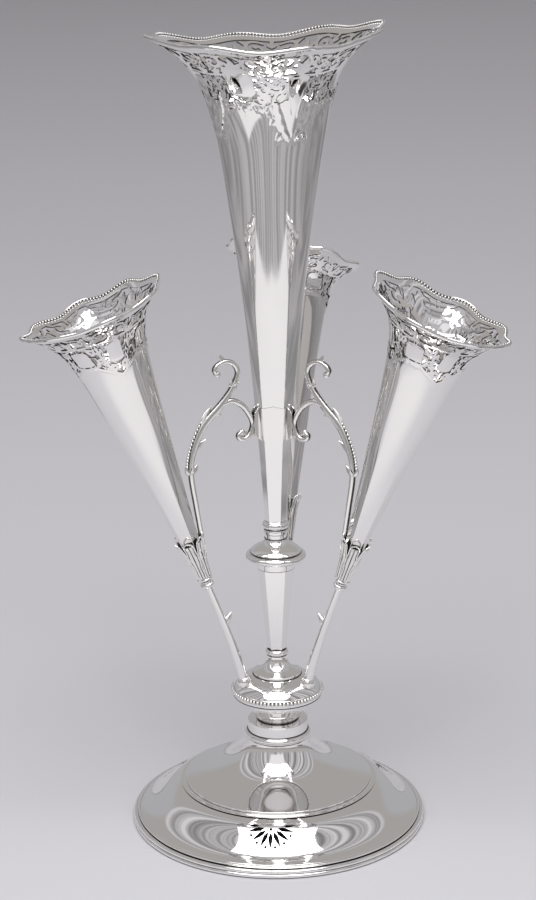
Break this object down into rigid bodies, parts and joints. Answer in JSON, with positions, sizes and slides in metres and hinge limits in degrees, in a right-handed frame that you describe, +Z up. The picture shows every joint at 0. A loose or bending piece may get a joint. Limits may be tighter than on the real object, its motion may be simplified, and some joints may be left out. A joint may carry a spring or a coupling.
{
  "type": "epergne",
  "caption": "Silver table centrepiece: a tall fluted trumpet vase on a stepped dome foot, ringed by smaller lift-off trumpet vases on curved arms with scroll brackets.",
  "frame": {"origin": "centre of the foot ring, on the plane of the table that the epergne stands on", "axes": "+Z up along the column, -Y to the front, +X to the viewer's right; the left and right arms point forward at 30 degrees below X and the third points to +Y"},
  "size_m": [0.2392, 0.2232, 0.4235],
  "materials": {
    "polished_silver": "polished sterling silver with fine wear",
    "cast_silver": "cast and chased silver, darker in the hollows",
    "steel": "turned steel"
  },
  "bodies": {
    "stand": {"foot_ring": "polished_silver", "base_skirt": "polished_silver", "base_dome": "polished_silver", "collar_ring": "polished_silver", "neck_band": "polished_silver", "spool": "polished_silver", "socket_disc": "polished_silver", "left_arm_socket": "polished_silver", "right_arm_socket": "polished_silver", "back_arm_socket": "polished_silver", "stem_foot": "polished_silver", "stem_ring": "polished_silver", "hex_stem": "polished_silver", "stem_knop": "polished_silver", "trumpet_socket": "polished_silver", "disc_beading": "cast_silver", "tie_rod": "steel", "base_washer": "steel", "base_nut": "steel"},
    "center_vase": {"center_trumpet": "polished_silver", "center_foot_ring": "polished_silver", "center_spigot": "steel", "center_rim_wire": "cast_silver", "tie_band": "polished_silver", "tie_lugs": "cast_silver"},
    "left_arm": {"left_arm_spigot": "steel", "left_arm_tube": "polished_silver", "left_arm_thorn": "cast_silver", "left_arm_knop": "polished_silver", "left_calyx": "cast_silver", "left_trumpet": "polished_silver", "left_rim_wire": "cast_silver", "left_scroll_bracket": "cast_silver", "left_scroll_branch": "cast_silver", "left_bracket_beading": "cast_silver"},
    "right_arm": {"right_arm_spigot": "steel", "right_arm_tube": "polished_silver", "right_arm_thorn": "cast_silver", "right_arm_knop": "polished_silver", "right_calyx": "cast_silver", "right_trumpet": "polished_silver", "right_rim_wire": "cast_silver", "right_scroll_bracket": "cast_silver", "right_scroll_branch": "cast_silver", "right_bracket_beading": "cast_silver"},
    "back_arm": {"back_arm_spigot": "steel", "back_arm_tube": "polished_silver", "back_arm_thorn": "cast_silver", "back_arm_knop": "polished_silver", "back_calyx": "cast_silver", "back_trumpet": "polished_silver", "back_rim_wire": "cast_silver", "back_scroll_bracket": "cast_silver", "back_scroll_branch": "cast_silver", "back_bracket_beading": "cast_silver"}
  },
  "joints": [
    {"name": "center_vase_lift", "type": "slide", "parent": "stand", "child": "center_vase", "axis": [0, 0, 1], "range_m": [0, 0.03]},
    {"name": "left_arm_lift", "type": "slide", "parent": "stand", "child": "left_arm", "axis": [-0.2241, -0.1294, 0.9659], "range_m": [0, 0.025]},
    {"name": "right_arm_lift", "type": "slide", "parent": "stand", "child": "right_arm", "axis": [0.2241, -0.1294, 0.9659], "range_m": [0, 0.025]},
    {"name": "back_arm_lift", "type": "slide", "parent": "stand", "child": "back_arm", "axis": [0.0149, 0.2584, 0.9659], "range_m": [0, 0.025]}
  ]
}
